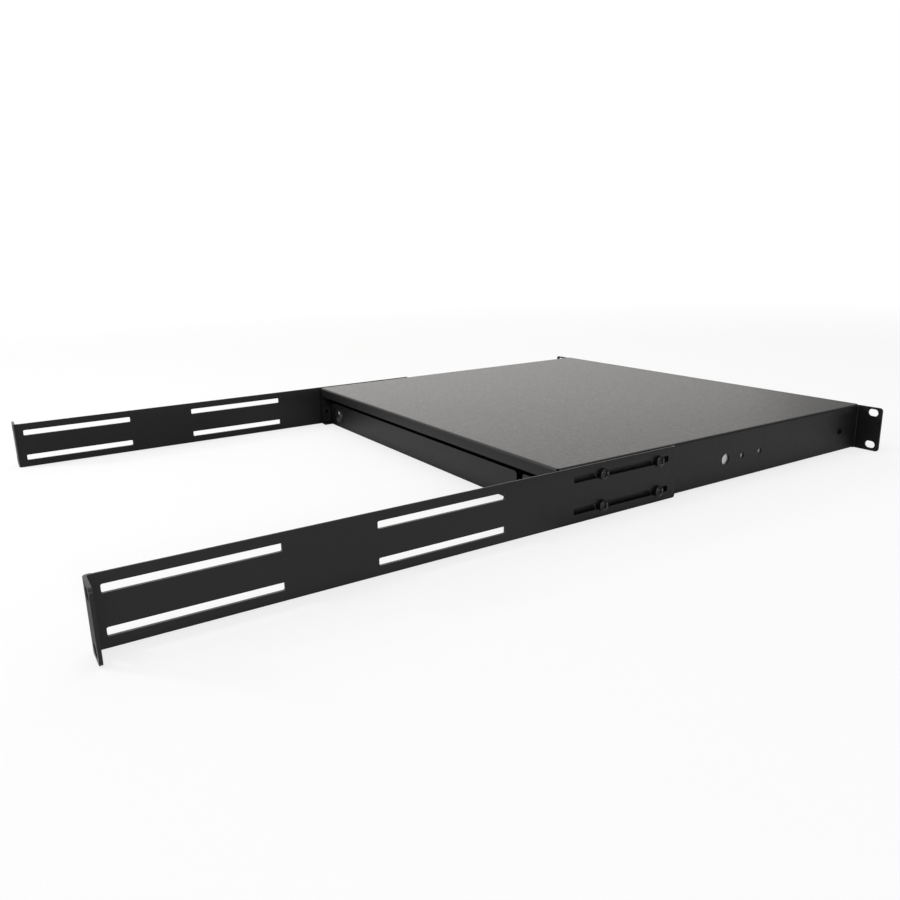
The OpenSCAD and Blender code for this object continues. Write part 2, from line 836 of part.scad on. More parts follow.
module drawer_tray() {
    rear_top = tray_under_z + tray_rear_h;
    color("#2e2e2f") difference() {
        union() {
            for (side = [-1, 1]) on_side(side) tray_half();
            tray_end(front_back_y, 1, tray_front_h);
            tray_end(tray_rear_y, -1, tray_rear_h);
        }
        along_y(tray_rear_y - tray_t - cut, tray_rear_y + cut) {
            translate([-tray_notch_w / 2, rear_top - tray_notch_h])
                square([tray_notch_w, tray_notch_h + cut]);
            for (side = [-1, 1]) on_side_2d(side)
                translate([-tray_notch_w / 2, rear_top]) corner_waste(tray_notch_r);
        }
        for (side = [-1, 1]) on_side(side) in_slide() at_slide_screws()
            rod_x(slide_w - cut, slide_w + tray_t + cut, slide_screw_d);
        at_panel_screws() rod_y(front_back_y - cut, front_back_y + tray_t + cut, panel_screw_d);
        at_handle_legs() rod_y(front_back_y - cut, front_back_y + tray_t + cut, handle_screw_d);
    }
}

module at_panel_screws() {
    for (x = [-1, 0, 1], z = [-1, 1])
        translate([x * panel_screw_x_share * 2 * tray_in, 0, z * panel_screw_z_share * front_h])
            children();
}

module at_handle_legs() {
    for (side = [-1, 1], leg = [-1, 1])
        translate([side * handle_x + leg * handle_pitch / 2, 0, 0]) children();
}

module front_panel() {
    color("#2b2b2c") difference() {
        along_y(front_face_y, front_back_y) round_rect(front_w, front_h, front_corner_r);
        at_panel_screws() {
            rod_y(front_face_y - cut, front_back_y + cut, panel_screw_d);
            countersink(cut);
        }
        at_handle_legs() rod_y(front_face_y - cut, front_back_y + cut, handle_screw_d);
    }
}

// The cone of a countersunk head in the panel's face, run past the face by over
module countersink(over) {
    slope = (panel_screw_head_d - panel_screw_d) / panel_screw_head_h;
    translate([0, front_face_y - over, 0]) rotate([-90, 0, 0])
        cylinder(h = panel_screw_head_h + over,
                 d1 = panel_screw_head_d + over * slope, d2 = panel_screw_d);
}

module panel_screws() {
    color("#1f1f20") at_panel_screws() {
        countersink(0);
        rod_y(front_face_y + panel_screw_head_h / 2, front_back_y + tray_t, panel_screw_d);
        rod_y(front_back_y + tray_t, front_back_y + tray_t + panel_screw_nut_h,
              panel_screw_head_d);
    }
}

module handle_bend() {
    rotate_extrude(angle = 90) translate([handle_bend_r, 0]) circle(d = handle_d);
}

module handle(side) {
    leg_l = handle_reach - handle_bend_r;
    half = handle_pitch / 2;
    color("#1b1b1c") translate([side * handle_x, front_face_y, 0]) difference() {
        union() {
            for (leg = [-1, 1]) on_side(leg) translate([-half, 0, 0]) {
                rod_y(-leg_l, 0, handle_d);
                rod_y(-handle_foot_t, 0, handle_foot_d);
                translate([handle_bend_r, -leg_l, 0]) rotate([0, 0, 180]) handle_bend();
            }
            translate([0, -handle_reach, 0])
                rod_x(-half + handle_bend_r, half - handle_bend_r, handle_d);
        }
        for (leg = [-1, 1]) translate([leg * half, 0, 0])
            rod_y(-handle_screw_bite, cut, handle_screw_d);
    }
}

module handle_screws() {
    color("#8f9091") at_handle_legs() {
        rod_y(front_face_y - handle_screw_bite, front_back_y + tray_t, handle_screw_d);
        rod_y(front_back_y + tray_t, front_back_y + tray_t + handle_screw_head_h,
              handle_screw_head_d);
    }
}

housing_shell();
rear_panel();
rear_panel_rivets();
hole_plug();
on_side(-1) clinch_nuts();  // left_clinch_nuts
on_side(1) clinch_nuts();  // right_clinch_nuts
on_side(-1) bracket_screws();  // left_bracket_screws
on_side(1) bracket_screws();  // right_bracket_screws
on_side(-1) washers();  // left_bracket_washers
on_side(1) washers();  // right_bracket_washers
on_side(-1) rear_bracket();  // left_rear_bracket
on_side(1) rear_bracket();  // right_rear_bracket
on_side(-1) slide_outer();  // left_slide_outer
on_side(1) slide_outer();  // right_slide_outer
on_side(-1) slide_rivets();  // left_slide_rivets
on_side(1) slide_rivets();  // right_slide_rivets
on_side(-1) slide_stop();  // left_slide_stop
on_side(1) slide_stop();  // right_slide_stop
on_side(-1) slide_middle();  // left_slide_middle
on_side(1) slide_middle();  // right_slide_middle
on_side(-1) slide_inner();  // left_slide_inner
on_side(1) slide_inner();  // right_slide_inner
on_side(-1) ball_cage(outer_cage_x, outer_ball_x, outer_ball_z, outer_r);  // left_outer_ball_cage
on_side(1) ball_cage(outer_cage_x, outer_ball_x, outer_ball_z, outer_r);  // right_outer_ball_cage
on_side(-1) ball_cage(inner_cage_x, inner_ball_x, inner_ball_z, inner_r);  // left_inner_ball_cage
on_side(1) ball_cage(inner_cage_x, inner_ball_x, inner_ball_z, inner_r);  // right_inner_ball_cage
on_side(-1) balls(outer_ball_x, outer_ball_z, outer_ball_d);  // left_outer_balls
on_side(1) balls(outer_ball_x, outer_ball_z, outer_ball_d);  // right_outer_balls
on_side(-1) balls(inner_ball_x, inner_ball_z, inner_ball_d);  // left_inner_balls
on_side(1) balls(inner_ball_x, inner_ball_z, inner_ball_d);  // right_inner_balls
on_side(-1) release_lever();  // left_release_lever
on_side(1) release_lever();  // right_release_lever
on_side(-1) lever_pin();  // left_lever_pin
on_side(1) lever_pin();  // right_lever_pin
on_side(-1) slide_screws();  // left_slide_screws
on_side(1) slide_screws();  // right_slide_screws
drawer_tray();
front_panel();
panel_screws();
handle(-1);  // left_handle
handle(1);  // right_handle
handle_screws();
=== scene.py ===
"""Looks of a one-unit rack keyboard drawer: its coats and metals, fine pieces and a pale studio.

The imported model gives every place. Sheet pieces are copied from it so that their cut edges can be
rounded, turned pieces and handles are worked out again as fine surfaces, and the rest of the
nodes, such as the slides, are dressed as they are.
"""

import json
import logging
import math
from dataclasses import dataclass
from enum import Enum
from typing import Any

import bmesh
import bpy
import numpy as np
from mathutils import Matrix, Vector

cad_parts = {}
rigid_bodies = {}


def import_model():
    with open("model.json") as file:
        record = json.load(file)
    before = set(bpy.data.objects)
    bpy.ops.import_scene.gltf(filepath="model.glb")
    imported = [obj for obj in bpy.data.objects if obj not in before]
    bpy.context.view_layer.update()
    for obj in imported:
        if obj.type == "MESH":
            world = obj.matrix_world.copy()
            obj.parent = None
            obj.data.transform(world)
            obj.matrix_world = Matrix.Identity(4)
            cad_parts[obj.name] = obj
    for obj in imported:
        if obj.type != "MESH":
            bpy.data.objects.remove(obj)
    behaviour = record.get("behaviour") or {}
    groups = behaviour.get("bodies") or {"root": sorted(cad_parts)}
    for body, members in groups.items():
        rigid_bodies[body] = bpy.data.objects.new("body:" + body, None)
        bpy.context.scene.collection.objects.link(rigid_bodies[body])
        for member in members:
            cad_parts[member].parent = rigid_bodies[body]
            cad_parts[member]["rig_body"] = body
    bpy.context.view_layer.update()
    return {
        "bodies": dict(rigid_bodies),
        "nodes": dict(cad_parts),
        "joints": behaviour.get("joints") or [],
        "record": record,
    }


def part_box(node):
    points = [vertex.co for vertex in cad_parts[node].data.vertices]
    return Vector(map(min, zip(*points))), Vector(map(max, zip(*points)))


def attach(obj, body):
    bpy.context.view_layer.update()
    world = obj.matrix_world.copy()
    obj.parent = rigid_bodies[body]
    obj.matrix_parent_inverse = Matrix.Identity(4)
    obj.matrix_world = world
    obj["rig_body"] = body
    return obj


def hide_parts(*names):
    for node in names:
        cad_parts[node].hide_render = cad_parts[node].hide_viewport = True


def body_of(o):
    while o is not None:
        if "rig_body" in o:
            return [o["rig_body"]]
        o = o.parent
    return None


LOG = logging.getLogger("rack_drawer")
MM = 0.001
WELD = 2e-6  # Points closer than this are one, in metres.
FLAT_ANGLE = 0.4  # Faces that meet at less than this make one flat face, in degrees.
SHEET_CREASE = 35.0  # Edges of sheet that are sharper than this stay crisp, in degrees.
TURNED_CREASE = 40.0  # The same for turned pieces.
BAR_CREASE = 50.0  # The same for bent bar.
FINE_DETAIL = 2.0  # Layers of noise in a fine relief.
SLOW_DETAIL = 4.0  # Layers of noise in a slow change of tone.
WHITE = "#ffffff"  # Light without a tint: most lamps, the surround and the floor's glow.


class Side(Enum):
    """The two sides of the drawer, seen from the front."""

    LEFT = -1
    RIGHT = 1

    @property
    def word(self) -> str:
        """Returns the side's word in node and body names."""
        return self.name.lower()


class Slot(Enum):
    """The record's material slots, which the nodes and the new pieces are dressed from."""

    HOUSING = "powder_coated_steel"
    INNER = "powder_coated_inner"
    FRONT = "powder_coated_front"
    SCREW = "black_screws"
    WASHER = "black_washers"
    ZINC = "zinc_fasteners"
    SLIDE = "zinc_slide_steel"
    CAGE = "cage_steel"
    BALL = "ball_steel"
    STOP = "stop_rubber"
    LEVER = "lever_plastic"
    PLUG = "plug_nylon"
    HANDLE = "handle_coat"


def srgb(colour: str) -> tuple[float, float, float, float]:
    """Turns an sRGB hex colour into linear RGBA by the standard's own curve.

    Args:
        colour: The colour as "#rrggbb".

    Returns:
        Linear red, green, blue and an alpha of 1.
    """
    code = np.array([int(colour[i : i + 2], 16) for i in (1, 3, 5)]) / 255.0
    linear = np.where(code <= 0.04045, code / 12.92, ((code + 0.055) / 1.055) ** 2.4)
    return (*(float(v) for v in linear), 1.0)


def per_metre(size_mm: float) -> float:
    """Returns the texture scale whose features are about size_mm apart."""
    return 1.0 / (size_mm * MM)


def add_node(
    tree: bpy.types.NodeTree,
    kind: str,
    settings: dict[str, Any] | None = None,
    inputs: dict[str | int, Any] | None = None,
) -> bpy.types.Node:
    """Adds a node, sets it up and links it.

    Inputs that share a name go by number: a Mix node's factor is 0, its two numbers are 2 and 3,
    and its two colours are 6 and 7.

    Args:
        tree: The tree that gets the node.
        kind: Blender's name of the node type.
        settings: Properties of the node by name.
        inputs: Values or output sockets by the name or number of the input.

    Returns:
        The new node.
    """
    node = tree.nodes.new(kind)
    for name, value in (settings or {}).items():
        setattr(node, name, value)
    for key, value in (inputs or {}).items():
        if isinstance(value, bpy.types.NodeSocket):
            tree.links.new(value, node.inputs[key])
        else:
            node.inputs[key].default_value = value
    return node


@dataclass(frozen=True)
class Finish:
    """One finish: two close tones, a range of roughness, and a fine relief that drives both.

    Attributes:
        name: Name of the material.
        tones: The deeper and the lighter tone, as sRGB hex.
        roughness: Roughness on the crests and in the hollows of the relief.
        metallic: 1 for bare and plated metal, 0 for coats and plastics, between them for the
            thin skin of an oxide.
        ior: Index of refraction.
        specular: Specular level, 0.5 for a closed smooth surface, less for a dry one.
        patch_mm: Size of the slow changes of tone.
        grain_mm: Spacing of the fine relief.
        depth_mm: Height of the fine relief.
    """

    name: str
    tones: tuple[str, str]
    roughness: tuple[float, float]
    metallic: float = 0.0
    ior: float = 1.5
    specular: float = 0.5
    patch_mm: float = 40.0
    grain_mm: float = 0.8
    depth_mm: float = 0.01

    def relief(self, tree: bpy.types.NodeTree, place: bpy.types.NodeSocket) -> bpy.types.NodeSocket:
        """Makes the height pattern of the surface.

        Args:
            tree: The material's tree.
            place: Object coordinates.

        Returns:
            The height, from 0 to 1.
        """
        grain = add_node(
            tree,
            "ShaderNodeTexNoise",
            inputs={"Vector": place, "Scale": per_metre(self.grain_mm), "Detail": FINE_DETAIL},
        )
        return grain.outputs["Fac"]

    def make(self) -> bpy.types.Material:
        """Builds the material.

        Returns:
            A node material on Object coordinates.
        """
        material = bpy.data.materials.new(self.name)
        material.use_nodes = True
        tree = material.node_tree
        tree.nodes.clear()
        place = add_node(tree, "ShaderNodeTexCoord").outputs["Object"]
        height = self.relief(tree, place)
        patches = add_node(
            tree,
            "ShaderNodeTexNoise",
            inputs={"Vector": place, "Scale": per_metre(self.patch_mm), "Detail": SLOW_DETAIL},
        )
        tone = add_node(
            tree,
            "ShaderNodeMix",
            {"data_type": "RGBA"},
            {0: patches.outputs["Fac"], 6: srgb(self.tones[0]), 7: srgb(self.tones[1])},
        )
        rough = add_node(
            tree,
            "ShaderNodeMapRange",
            inputs={"Value": height, "To Min": self.roughness[1], "To Max": self.roughness[0]},
        )
        bump = add_node(
            tree, "ShaderNodeBump", inputs={"Height": height, "Distance": self.depth_mm * MM}
        )
        shader = add_node(
            tree,
            "ShaderNodeBsdfPrincipled",
            inputs={
                "Base Color": tone.outputs[2],
                "Metallic": self.metallic,
                "Roughness": rough.outputs["Result"],
                "IOR": self.ior,
                "Specular IOR Level": self.specular,
                "Normal": bump.outputs["Normal"],
            },
        )
        add_node(tree, "ShaderNodeOutputMaterial", inputs={"Surface": shader.outputs["BSDF"]})
        return material


@dataclass(frozen=True)
class PowderCoat(Finish):
    """Powder baked on sheet steel: fine round grains on a slower flow of the melted film.

    Attributes:
        flow_mm: Spacing of the slow waves of the film.
        flow_share: Share of the waves in the height.
    """

    flow_mm: float = 5.0
    flow_share: float = 0.35

    def relief(self, tree: bpy.types.NodeTree, place: bpy.types.NodeSocket) -> bpy.types.NodeSocket:
        """Makes the height: smooth cells for the grains, mixed with a noise for the film.

        Args:
            tree: The material's tree.
            place: Object coordinates.

        Returns:
            The height, from 0 to 1.
        """
        grains = add_node(
            tree,
            "ShaderNodeTexVoronoi",
            {"feature": "SMOOTH_F1"},
            {"Vector": place, "Scale": per_metre(self.grain_mm)},
        )
        film = add_node(
            tree,
            "ShaderNodeTexNoise",
            inputs={"Vector": place, "Scale": per_metre(self.flow_mm), "Detail": FINE_DETAIL},
        )
        both = add_node(
            tree,
            "ShaderNodeMix",
            {"data_type": "FLOAT"},
            {0: self.flow_share, 2: grains.outputs["Distance"], 3: film.outputs["Fac"]},
        )
        return both.outputs[0]


@dataclass(frozen=True)
class RolledMetal(Finish):
    """Rolled or drawn metal, plated or bare: fine lines along the length of the piece.

    Attributes:
        stretch: How much longer than wide the lines are, along Y.
    """

    stretch: float = 40.0

    def relief(self, tree: bpy.types.NodeTree, place: bpy.types.NodeSocket) -> bpy.types.NodeSocket:
        """Makes the height: a noise drawn out along Y.

        Args:
            tree: The material's tree.
            place: Object coordinates.

        Returns:
            The height, from 0 to 1.
        """
        drawn = add_node(
            tree,
            "ShaderNodeMapping",
            inputs={"Vector": place, "Scale": (1.0, 1.0 / self.stretch, 1.0)},
        )
        return super().relief(tree, drawn.outputs["Vector"])


# Real grains and tool marks are finer than the picture shows: powder about 0.3 mm, the orange
# peel of enamel about 1 mm, a mould's grain about 0.1 mm, and the marks of turning, tumbling,
# rolling and plating under 0.05 mm. Each is drawn at its grain_mm, as coarse as it needs to show.
FINISHES: dict[Slot, Finish] = {
    # Black powder coat on folded steel: near black seen square on, and a soft grey sheen that
    # grows as the view grazes it. Its grains are drawn at 1.8 mm.
    Slot.HOUSING: PowderCoat(
        "black_powder_coat", ("#0a0a0b", "#0f0f10"), (0.34, 0.50), specular=0.28, grain_mm=1.8,
        depth_mm=0.11,
    ),
    # The same coat on the pieces behind and inside, a touch drier and with lower grains.
    Slot.INNER: PowderCoat(
        "black_powder_coat_inner", ("#0a0a0a", "#0f0f10"), (0.36, 0.48), specular=0.28,
        grain_mm=1.4, depth_mm=0.06,
    ),
    # The same coat on the face that the user sees, sprayed thinner: closer, lower grains.
    Slot.FRONT: PowderCoat(
        "black_powder_coat_front", ("#0c0c0d", "#101011"), (0.35, 0.45), specular=0.24,
        grain_mm=0.7, depth_mm=0.022,
    ),
    # Black oxide on turned steel: a thin dark skin, so heads glint softly like gun metal.
    Slot.SCREW: Finish(
        "black_oxide_steel", ("#0a0a0b", "#101011"), (0.09, 0.14), metallic=0.3, patch_mm=6.0,
        grain_mm=0.5, depth_mm=0.006,
    ),
    # Black oxide on stamped washers, tumbled, so duller than the screws.
    Slot.WASHER: Finish(
        "black_oxide_washer", ("#0a0a0b", "#111112"), (0.26, 0.36), metallic=0.3, patch_mm=5.0,
        grain_mm=0.4, depth_mm=0.006,
    ),
    # Bright zinc plate on small turned steel pieces: pale, faintly blue and slightly cloudy.
    Slot.ZINC: Finish(
        "bright_zinc_plate", ("#b4bac0", "#cdd1d4"), (0.24, 0.36), metallic=1.0, patch_mm=4.0,
        grain_mm=0.6, depth_mm=0.004,
    ),
    # Zinc plate on roll-formed strip: the rolling lines still show along the slide.
    Slot.SLIDE: RolledMetal(
        "zinc_plated_strip", ("#b6b8ba", "#cccdce"), (0.25, 0.38), metallic=1.0, patch_mm=18.0,
        grain_mm=0.5, depth_mm=0.006,
    ),
    # Bare cold-rolled strip of the ball cages: greyer and softer than the plated members.
    Slot.CAGE: RolledMetal(
        "cold_rolled_strip", ("#9b9da0", "#b5b6b8"), (0.32, 0.44), metallic=1.0, patch_mm=12.0,
        grain_mm=0.4, depth_mm=0.006,
    ),
    # Hardened chrome steel balls, lapped to a mirror under a film of grease.
    Slot.BALL: Finish(
        "polished_ball_steel", ("#cfd1d3", "#dcdddf"), (0.05, 0.10), metallic=1.0, patch_mm=3.0,
        grain_mm=0.8, depth_mm=0.0005,
    ),
    # Moulded rubber bumper: black, dry and almost without gloss.
    Slot.STOP: Finish(
        "moulded_rubber", ("#131313", "#1c1c1c"), (0.72, 0.86), ior=1.52, specular=0.4,
        patch_mm=5.0, grain_mm=0.5, depth_mm=0.02,
    ),
    # ABS lever from a spark-eroded mould: satin black with a fine even grain.
    Slot.LEVER: Finish(
        "moulded_abs", ("#151516", "#1b1b1c"), (0.38, 0.5), ior=1.54, patch_mm=9.0,
        grain_mm=0.35, depth_mm=0.01,
    ),
    # Nylon plug from a polished mould: smoother than the coat, so its dome carries a highlight.
    Slot.PLUG: Finish(
        "moulded_nylon", ("#101011", "#151516"), (0.19, 0.25), ior=1.53, patch_mm=6.0,
        grain_mm=1.2, depth_mm=0.006,
    ),
    # Smooth black stove enamel on the steel bar of the handles, with a faint orange peel.
    Slot.HANDLE: PowderCoat(
        "black_stove_enamel", ("#111112", "#151516"), (0.20, 0.27), grain_mm=1.6, depth_mm=0.008,
        flow_mm=3.0, flow_share=0.7,
    ),
}


class Wardrobe:
    """Makes each finish once and dresses nodes and pieces from the record's slots."""

    def __init__(self, record: dict[str, Any]) -> None:
        """Reads which slot each node has.

        Args:
            record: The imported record.
        """
        self.slots = {part["node"]: Slot(part["material_slot"]) for part in record["subparts"]}
        self.made: dict[Slot, bpy.types.Material] = {}

    def material(self, slot: Slot) -> bpy.types.Material:
        """Gives the material of a slot, made on first use.

        Args:
            slot: The slot.

        Returns:
            Its material.
        """
        if slot not in self.made:
            self.made[slot] = FINISHES[slot].make()
        return self.made[slot]

    def dress(self, piece: bpy.types.Object, slot: Slot) -> None:
        """Gives a piece the only material of its slot."""
        piece.data.materials.clear()
        piece.data.materials.append(self.material(slot))

    def dress_nodes(self, nodes: dict[str, bpy.types.Object]) -> None:
        """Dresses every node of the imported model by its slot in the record.

        Args:
            nodes: The nodes by name.
        """
        for name, piece in nodes.items():
            material = self.material(self.slots[name])
            if piece.material_slots:
                for place in piece.material_slots:
                    place.material = material
            else:
                piece.data.materials.append(material)
            LOG.info("%s wears %s", name, material.name)


def grid_faces(rows: int, columns: int, first: int) -> np.ndarray:
    """Works out the quads of a grid that is closed round its columns.

    The quad at row i and column j joins the points (i, j), (i, j + 1), (i + 1, j + 1) and
    (i + 1, j), with the column count wrapping round.

    Args:
        rows: Count of rings.
        columns: Points in a ring.
        first: Number of the grid's first point.

    Returns:
        An array of quads by point number.
    """
    row, column = np.meshgrid(np.arange(rows - 1), np.arange(columns), indexing="ij")
    after = (column + 1) % columns
    corners = [row * columns + column, row * columns + after]
    corners += [(row + 1) * columns + after, (row + 1) * columns + column]
    return np.stack(corners, axis=-1).reshape(-1, 4) + first


def grid_object(name: str, grids: np.ndarray, crease: float) -> bpy.types.Object:
    """Makes one object of a stack of grids, closed round their columns.

    Rings that have shrunk to a point are welded into a pole, and normals are turned outwards.

    Args:
        name: Name of the piece.
        grids: Points as an array of grid, ring, column and X, Y, Z, in metres.
        crease: Edges sharper than this, in degrees, stay crisp.

    Returns:
        The object, in the scene.
    """
    count, rows, columns, _ = grids.shape
    step = rows * columns
    faces = np.concatenate([grid_faces(rows, columns, step * i) for i in range(count)])
    mesh = bpy.data.meshes.new(name)
    mesh.from_pydata(grids.reshape(-1, 3), [], faces)
    return weld_object(name, mesh, crease)


def set_crisp_edges(work: bmesh.types.BMesh, crease: float) -> None:
    """Shades all faces smooth, and keeps the sharper edges crisp.

    Args:
        work: The mesh that is worked on.
        crease: Edges sharper than this, in degrees, stay crisp.
    """
    limit = math.radians(crease)
    for face in work.faces:
        face.smooth = True
    for edge in work.edges:
        edge.smooth = edge.calc_face_angle(0.0) < limit


def weld_object(
    name: str, mesh: bpy.types.Mesh, crease: float, flatten: bool = False
) -> bpy.types.Object:
    """Merges a mesh's doubles, sets its crisp edges and links it as an object.

    Args:
        name: Name of the piece.
        mesh: The mesh, in place.
        crease: Edges sharper than this, in degrees, stay crisp.
        flatten: Join flat triangles into larger faces, so that a bevel runs clean.

    Returns:
        The object, in the scene.
    """
    work = bmesh.new()
    work.from_mesh(mesh)
    bmesh.ops.remove_doubles(work, verts=work.verts, dist=WELD)
    bmesh.ops.dissolve_degenerate(work, edges=work.edges, dist=WELD)
    if flatten:
        bmesh.ops.dissolve_limit(
            work, angle_limit=math.radians(FLAT_ANGLE), verts=work.verts, edges=work.edges
        )
    bmesh.ops.recalc_face_normals(work, faces=work.faces)
    set_crisp_edges(work, crease)
    work.to_mesh(mesh)
    work.free()
    piece = bpy.data.objects.new(name, mesh)
    bpy.context.scene.collection.objects.link(piece)
    return piece


def soften(values: np.ndarray) -> np.ndarray:
    """Eases values from 0 to 1: three times the square less twice the cube."""
    held = np.clip(values, 0.0, 1.0)
    return held * held * (3.0 - 2.0 * held)


def arc(
    centre: tuple[float, float], radius: float, start: float, end: float, count: int
) -> np.ndarray:
    """Works out points on an arc: the centre plus the radius times the angle's cosine and sine.

    Args:
        centre: Centre of the arc.
        radius: Its radius.
        start: First angle, in degrees.
        end: Last angle, in degrees.
        count: Number of points.

    Returns:
        An array of points.
    """
    angle = np.radians(np.linspace(start, end, count))
    return np.stack([centre[0] + radius * np.cos(angle), centre[1] + radius * np.sin(angle)], 1)


def turned(profile: np.ndarray, count: int) -> tuple[np.ndarray, np.ndarray]:
    """Carries a profile round its axis: each radius times the turn's cosine and sine.

    Args:
        profile: Points as radius and place along the axis.
        count: Points round the circle.

    Returns:
        The two coordinates across the axis, as arrays of profile point and turn.
    """
    turn = np.linspace(0.0, 2.0 * np.pi, count, endpoint=False)
    return profile[:, :1] * np.cos(turn), profile[:, :1] * np.sin(turn)


@dataclass
class Assembly:
    """What every sub-assembly shares: the nodes, the wardrobe and how a piece is put in place.

    Attributes:
        frame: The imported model.
        wardrobe: The finishes.
        long_mm: Top edges longer than this may have a round of their own.
        run_out_mm: Where that round stops, short of the edge's ends.
        round_steps: Faces across that round.
        edge_steps: Faces across the round of every other edge.
    """

    frame: dict[str, Any]
    wardrobe: Wardrobe
    long_mm: float = 100.0
    run_out_mm: float = 2.0
    round_steps: int = 5
    edge_steps: int = 2

    def settle(self, piece: bpy.types.Object, node: str) -> None:
        """Puts a piece in the place of a node: its body, its slot and its finish.

        Args:
            piece: The new piece.
            node: The node that it stands for.
        """
        slot = self.wardrobe.slots[node]
        self.wardrobe.dress(piece, slot)
        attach(piece, body_of(self.frame["nodes"][node])[0])
        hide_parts(node)
        LOG.info("%s stands for %s, %d faces", piece.name, node, len(piece.data.polygons))

    def round_top(self, mesh: bpy.types.Mesh, round_mm: float) -> None:
        """Rounds the long edges at a mesh's greatest height.

        Two cuts across the mesh first end those edges short of the corners, so that the round
        runs out on flat sheet.

        Args:
            mesh: The mesh, welded.
            round_mm: Radius of the round.
        """
        places = np.empty(len(mesh.vertices) * 3)
        mesh.vertices.foreach_get("co", places)
        ends = np.empty(len(mesh.edges) * 2, dtype=np.int64)
        mesh.edges.foreach_get("vertices", ends)
        spans = places.reshape(-1, 3)[ends.reshape(-1, 2)]
        top = places[2::3].max() - WELD
        long = np.linalg.norm(spans[:, 1] - spans[:, 0], axis=1) > self.long_mm * MM
        reach = spans[long & (spans[:, :, 2] > top).all(axis=1)][:, :, 1]
        work = bmesh.new()
        work.from_mesh(mesh)
        run_out = self.run_out_mm * MM
        for cut in (reach.min() + run_out, reach.max() - run_out):
            everything = [*work.verts, *work.edges, *work.faces]
            bmesh.ops.bisect_plane(
                work, geom=everything, dist=WELD, plane_co=(0.0, cut, 0.0), plane_no=(0.0, 1.0, 0.0)
            )
        edges = [
            edge
            for edge in work.edges
            if edge.calc_length() > self.long_mm * MM and min(v.co.z for v in edge.verts) > top
        ]
        bmesh.ops.bevel(
            work, geom=edges, offset=round_mm * MM, offset_type="OFFSET",
            segments=self.round_steps, profile=0.5, affect="EDGES", clamp_overlap=False,
        )
        set_crisp_edges(work, SHEET_CREASE)
        work.to_mesh(mesh)
        work.free()

    def rounded_copy(self, node: str, edge_mm: float, top_mm: float | None = None) -> None:
        """Copies a node with its corners taken off, as the coat rounds them on the real sheet.

        Args:
            node: The node to copy, whose faces are triangles.
            edge_mm: Width of the round on each edge.
            top_mm: Radius of the round on the long edges at the top, where it differs.
        """
        source = self.frame["nodes"][node].data
        points = np.empty(len(source.vertices) * 3)
        source.vertices.foreach_get("co", points)
        corners = np.empty(len(source.loops), dtype=np.int64)
        source.loops.foreach_get("vertex_index", corners)
        mesh = bpy.data.meshes.new(f"{node}_rounded")
        mesh.from_pydata(points.reshape(-1, 3), [], corners.reshape(-1, 3))
        piece = weld_object(f"{node}_rounded", mesh, SHEET_CREASE, flatten=True)
        if top_mm is not None:
            self.round_top(mesh, top_mm)
        edge = piece.modifiers.new("edge_round", "BEVEL")
        edge.width = edge_mm * MM
        edge.segments = self.edge_steps
        edge.limit_method = "ANGLE"
        edge.angle_limit = math.radians(SHEET_CREASE)
        edge.harden_normals = True
        self.settle(piece, node)


